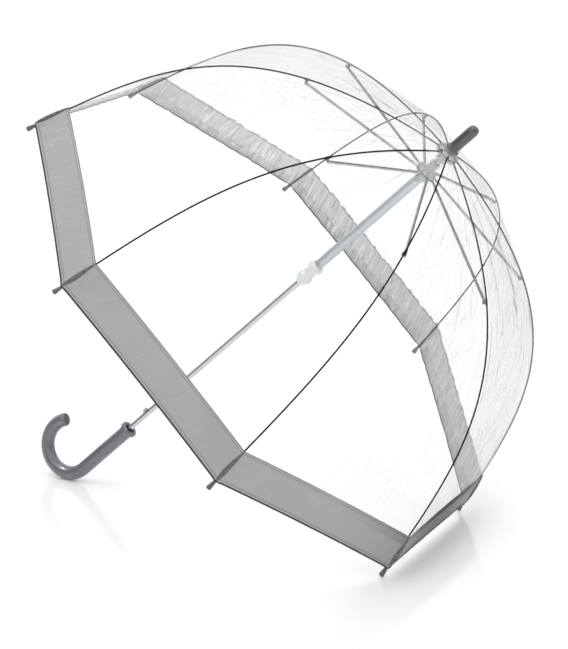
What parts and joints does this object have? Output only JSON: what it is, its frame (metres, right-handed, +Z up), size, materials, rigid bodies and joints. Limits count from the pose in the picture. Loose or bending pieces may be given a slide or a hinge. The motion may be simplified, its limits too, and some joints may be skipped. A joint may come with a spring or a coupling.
{
  "type": "dome umbrella",
  "caption": "Open clear dome umbrella with bowed ribs, stretchers, sliding runner, opaque border band and crook handle, lying on its crook and rib tips.",
  "frame": {"origin": "bottom centre of the bounding box of the open umbrella as it lies on a floor", "axes": "+Z up from the floor; the shaft lies in the XZ plane and rises from the handle at -X towards the ferrule at +X; +Y across the canopy"},
  "size_m": [0.7742, 0.8476, 0.7162],
  "materials": {
    "chromed_steel": "bright chrome plating",
    "runner_metal": "satin silver tube",
    "steel": "zinc-plated pressed steel",
    "rib_rod": "fibreglass rod, dark, satin",
    "tie_wire": "dark annealed wire",
    "white_plastic": "white moulded plastic",
    "frosted_plastic": "translucent moulded plastic",
    "grey_plastic": "smooth grey moulded plastic",
    "dark_plastic": "dark grey moulded plastic",
    "grey_film": "opaque grey film, welded hem",
    "clear_film": "clear flexible film with soft creases"
  },
  "bodies": {
    "frame": {"shaft": "chromed_steel", "handle": "grey_plastic", "top_notch": "frosted_plastic", "notch_wire": "tie_wire", "top_washer": "frosted_plastic", "ferrule": "dark_plastic"},
    "runner": {"runner_tube": "runner_metal", "runner_grip": "white_plastic", "runner_crown": "frosted_plastic", "runner_wire": "tie_wire"},
    "top_spring_catch": {"top_catch": "steel"},
    "bottom_spring_catch": {"bottom_catch": "steel"},
    "canopy_sector_1": {"rib_1": "rib_rod", "rib_tip_1": "dark_plastic", "rib_clip_1": "steel", "canopy_panel_1": "clear_film", "border_band_1": "grey_film"},
    "stretcher_arm_1": {"stretcher_1": "steel"},
    "canopy_sector_2": {"rib_2": "rib_rod", "rib_tip_2": "dark_plastic", "rib_clip_2": "steel", "canopy_panel_2": "clear_film", "border_band_2": "grey_film"},
    "stretcher_arm_2": {"stretcher_2": "steel"},
    "canopy_sector_3": {"rib_3": "rib_rod", "rib_tip_3": "dark_plastic", "rib_clip_3": "steel", "canopy_panel_3": "clear_film", "border_band_3": "grey_film"},
    "stretcher_arm_3": {"stretcher_3": "steel"},
    "canopy_sector_4": {"rib_4": "rib_rod", "rib_tip_4": "dark_plastic", "rib_clip_4": "steel", "canopy_panel_4": "clear_film", "border_band_4": "grey_film"},
    "stretcher_arm_4": {"stretcher_4": "steel"},
    "canopy_sector_5": {"rib_5": "rib_rod", "rib_tip_5": "dark_plastic", "rib_clip_5": "steel", "canopy_panel_5": "clear_film", "border_band_5": "grey_film"},
    "stretcher_arm_5": {"stretcher_5": "steel"},
    "canopy_sector_6": {"rib_6": "rib_rod", "rib_tip_6": "dark_plastic", "rib_clip_6": "steel", "canopy_panel_6": "clear_film", "border_band_6": "grey_film"},
    "stretcher_arm_6": {"stretcher_6": "steel"},
    "canopy_sector_7": {"rib_7": "rib_rod", "rib_tip_7": "dark_plastic", "rib_clip_7": "steel", "canopy_panel_7": "clear_film", "border_band_7": "grey_film"},
    "stretcher_arm_7": {"stretcher_7": "steel"},
    "canopy_sector_8": {"rib_8": "rib_rod", "rib_tip_8": "dark_plastic", "rib_clip_8": "steel", "canopy_panel_8": "clear_film", "border_band_8": "grey_film"},
    "stretcher_arm_8": {"stretcher_8": "steel"}
  },
  "joints": [
    {"name": "runner_slide", "type": "slide", "parent": "frame", "child": "runner", "axis": [-0.7052, 0, -0.709], "range_m": [0, 0.3284]},
    {"name": "top_catch_press", "type": "slide", "parent": "frame", "child": "top_spring_catch", "axis": [0.7063, 0.0872, -0.7025], "range_m": [0, 0.0012], "stiffness_N_per_m": 600},
    {"name": "bottom_catch_press", "type": "slide", "parent": "frame", "child": "bottom_spring_catch", "axis": [0.7063, 0.0872, -0.7025], "range_m": [0, 0.0036], "stiffness_N_per_m": 600},
    {"name": "rib_hinge_1", "type": "hinge", "parent": "frame", "child": "canopy_sector_1", "pos_m": [0.25964, -0.00612, 0.61117], "axis": [0.2713, -0.9239, -0.2699], "range_deg": [0, 43.55], "deforming": ["canopy_panel_1", "border_band_1"]},
    {"name": "stretcher_hinge_1", "type": "hinge", "parent": "runner", "child": "stretcher_arm_1", "pos_m": [0.23031, -0.00905, 0.57688], "axis": [-0.2713, 0.9239, 0.2699], "range_deg": [0, 66.9]},
    {"name": "rib_hinge_2", "type": "hinge", "parent": "frame", "child": "canopy_sector_2", "pos_m": [0.26578, -0.01478, 0.60506], "axis": [0.6551, -0.3827, -0.6515], "range_deg": [0, 43.55], "deforming": ["canopy_panel_2", "border_band_2"]},
    {"name": "stretcher_hinge_2", "type": "hinge", "parent": "runner", "child": "stretcher_arm_2", "pos_m": [0.23721, -0.01447, 0.57001], "axis": [-0.6551, 0.3827, 0.6515], "range_deg": [0, 66.9]},
    {"name": "rib_hinge_3", "type": "hinge", "parent": "frame", "child": "canopy_sector_3", "pos_m": [0.27446, -0.01478, 0.59642], "axis": [0.6551, 0.3827, -0.6515], "range_deg": [0, 43.55], "deforming": ["canopy_panel_3", "border_band_3"]},
    {"name": "stretcher_hinge_3", "type": "hinge", "parent": "runner", "child": "stretcher_arm_3", "pos_m": [0.24481, -0.0114, 0.56245], "axis": [-0.6551, -0.3827, 0.6515], "range_deg": [0, 66.9]},
    {"name": "rib_hinge_4", "type": "hinge", "parent": "frame", "child": "canopy_sector_4", "pos_m": [0.2806, -0.00612, 0.59032], "axis": [0.2713, 0.9239, -0.2699], "range_deg": [0, 43.55], "deforming": ["canopy_panel_4", "border_band_4"]},
    {"name": "stretcher_hinge_4", "type": "hinge", "parent": "runner", "child": "stretcher_arm_4", "pos_m": [0.24865, -0.00166, 0.55863], "axis": [-0.2713, -0.9239, 0.2699], "range_deg": [0, 66.9]},
    {"name": "rib_hinge_5", "type": "hinge", "parent": "frame", "child": "canopy_sector_5", "pos_m": [0.2806, 0.00612, 0.59032], "axis": [-0.2713, 0.9239, 0.2699], "range_deg": [0, 43.55], "deforming": ["canopy_panel_5", "border_band_5"]},
    {"name": "stretcher_hinge_5", "type": "hinge", "parent": "runner", "child": "stretcher_arm_5", "pos_m": [0.24648, 0.00905, 0.56079], "axis": [0.2713, -0.9239, -0.2699], "range_deg": [0, 66.9]},
    {"name": "rib_hinge_6", "type": "hinge", "parent": "frame", "child": "canopy_sector_6", "pos_m": [0.27446, 0.01478, 0.59642], "axis": [-0.6551, 0.3827, 0.6515], "range_deg": [0, 43.55], "deforming": ["canopy_panel_6", "border_band_6"]},
    {"name": "stretcher_hinge_6", "type": "hinge", "parent": "runner", "child": "stretcher_arm_6", "pos_m": [0.23957, 0.01447, 0.56766], "axis": [0.6551, -0.3827, -0.6515], "range_deg": [0, 66.9]},
    {"name": "rib_hinge_7", "type": "hinge", "parent": "frame", "child": "canopy_sector_7", "pos_m": [0.26578, 0.01478, 0.60506], "axis": [-0.6551, -0.3827, 0.6515], "range_deg": [0, 43.55], "deforming": ["canopy_panel_7", "border_band_7"]},
    {"name": "stretcher_hinge_7", "type": "hinge", "parent": "runner", "child": "stretcher_arm_7", "pos_m": [0.23197, 0.0114, 0.57522], "axis": [0.6551, 0.3827, -0.6515], "range_deg": [0, 66.9]},
    {"name": "rib_hinge_8", "type": "hinge", "parent": "frame", "child": "canopy_sector_8", "pos_m": [0.25964, 0.00612, 0.61117], "axis": [-0.2713, -0.9239, 0.2699], "range_deg": [0, 43.55], "deforming": ["canopy_panel_8", "border_band_8"]},
    {"name": "stretcher_hinge_8", "type": "hinge", "parent": "runner", "child": "stretcher_arm_8", "pos_m": [0.22813, 0.00166, 0.57903], "axis": [0.2713, 0.9239, -0.2699], "range_deg": [0, 66.9]}
  ],
  "couplings": [
    {"joint": "rib_hinge_1", "follows": "runner_slide", "rad_per_m": 2.3119},
    {"joint": "stretcher_hinge_1", "follows": "runner_slide", "rad_per_m": 3.5529},
    {"joint": "rib_hinge_2", "follows": "runner_slide", "rad_per_m": 2.3119},
    {"joint": "stretcher_hinge_2", "follows": "runner_slide", "rad_per_m": 3.5529},
    {"joint": "rib_hinge_3", "follows": "runner_slide", "rad_per_m": 2.3119},
    {"joint": "stretcher_hinge_3", "follows": "runner_slide", "rad_per_m": 3.5529},
    {"joint": "rib_hinge_4", "follows": "runner_slide", "rad_per_m": 2.3119},
    {"joint": "stretcher_hinge_4", "follows": "runner_slide", "rad_per_m": 3.5529},
    {"joint": "rib_hinge_5", "follows": "runner_slide", "rad_per_m": 2.3119},
    {"joint": "stretcher_hinge_5", "follows": "runner_slide", "rad_per_m": 3.5529},
    {"joint": "rib_hinge_6", "follows": "runner_slide", "rad_per_m": 2.3119},
    {"joint": "stretcher_hinge_6", "follows": "runner_slide", "rad_per_m": 3.5529},
    {"joint": "rib_hinge_7", "follows": "runner_slide", "rad_per_m": 2.3119},
    {"joint": "stretcher_hinge_7", "follows": "runner_slide", "rad_per_m": 3.5529},
    {"joint": "rib_hinge_8", "follows": "runner_slide", "rad_per_m": 2.3119},
    {"joint": "stretcher_hinge_8", "follows": "runner_slide", "rad_per_m": 3.5529}
  ]
}
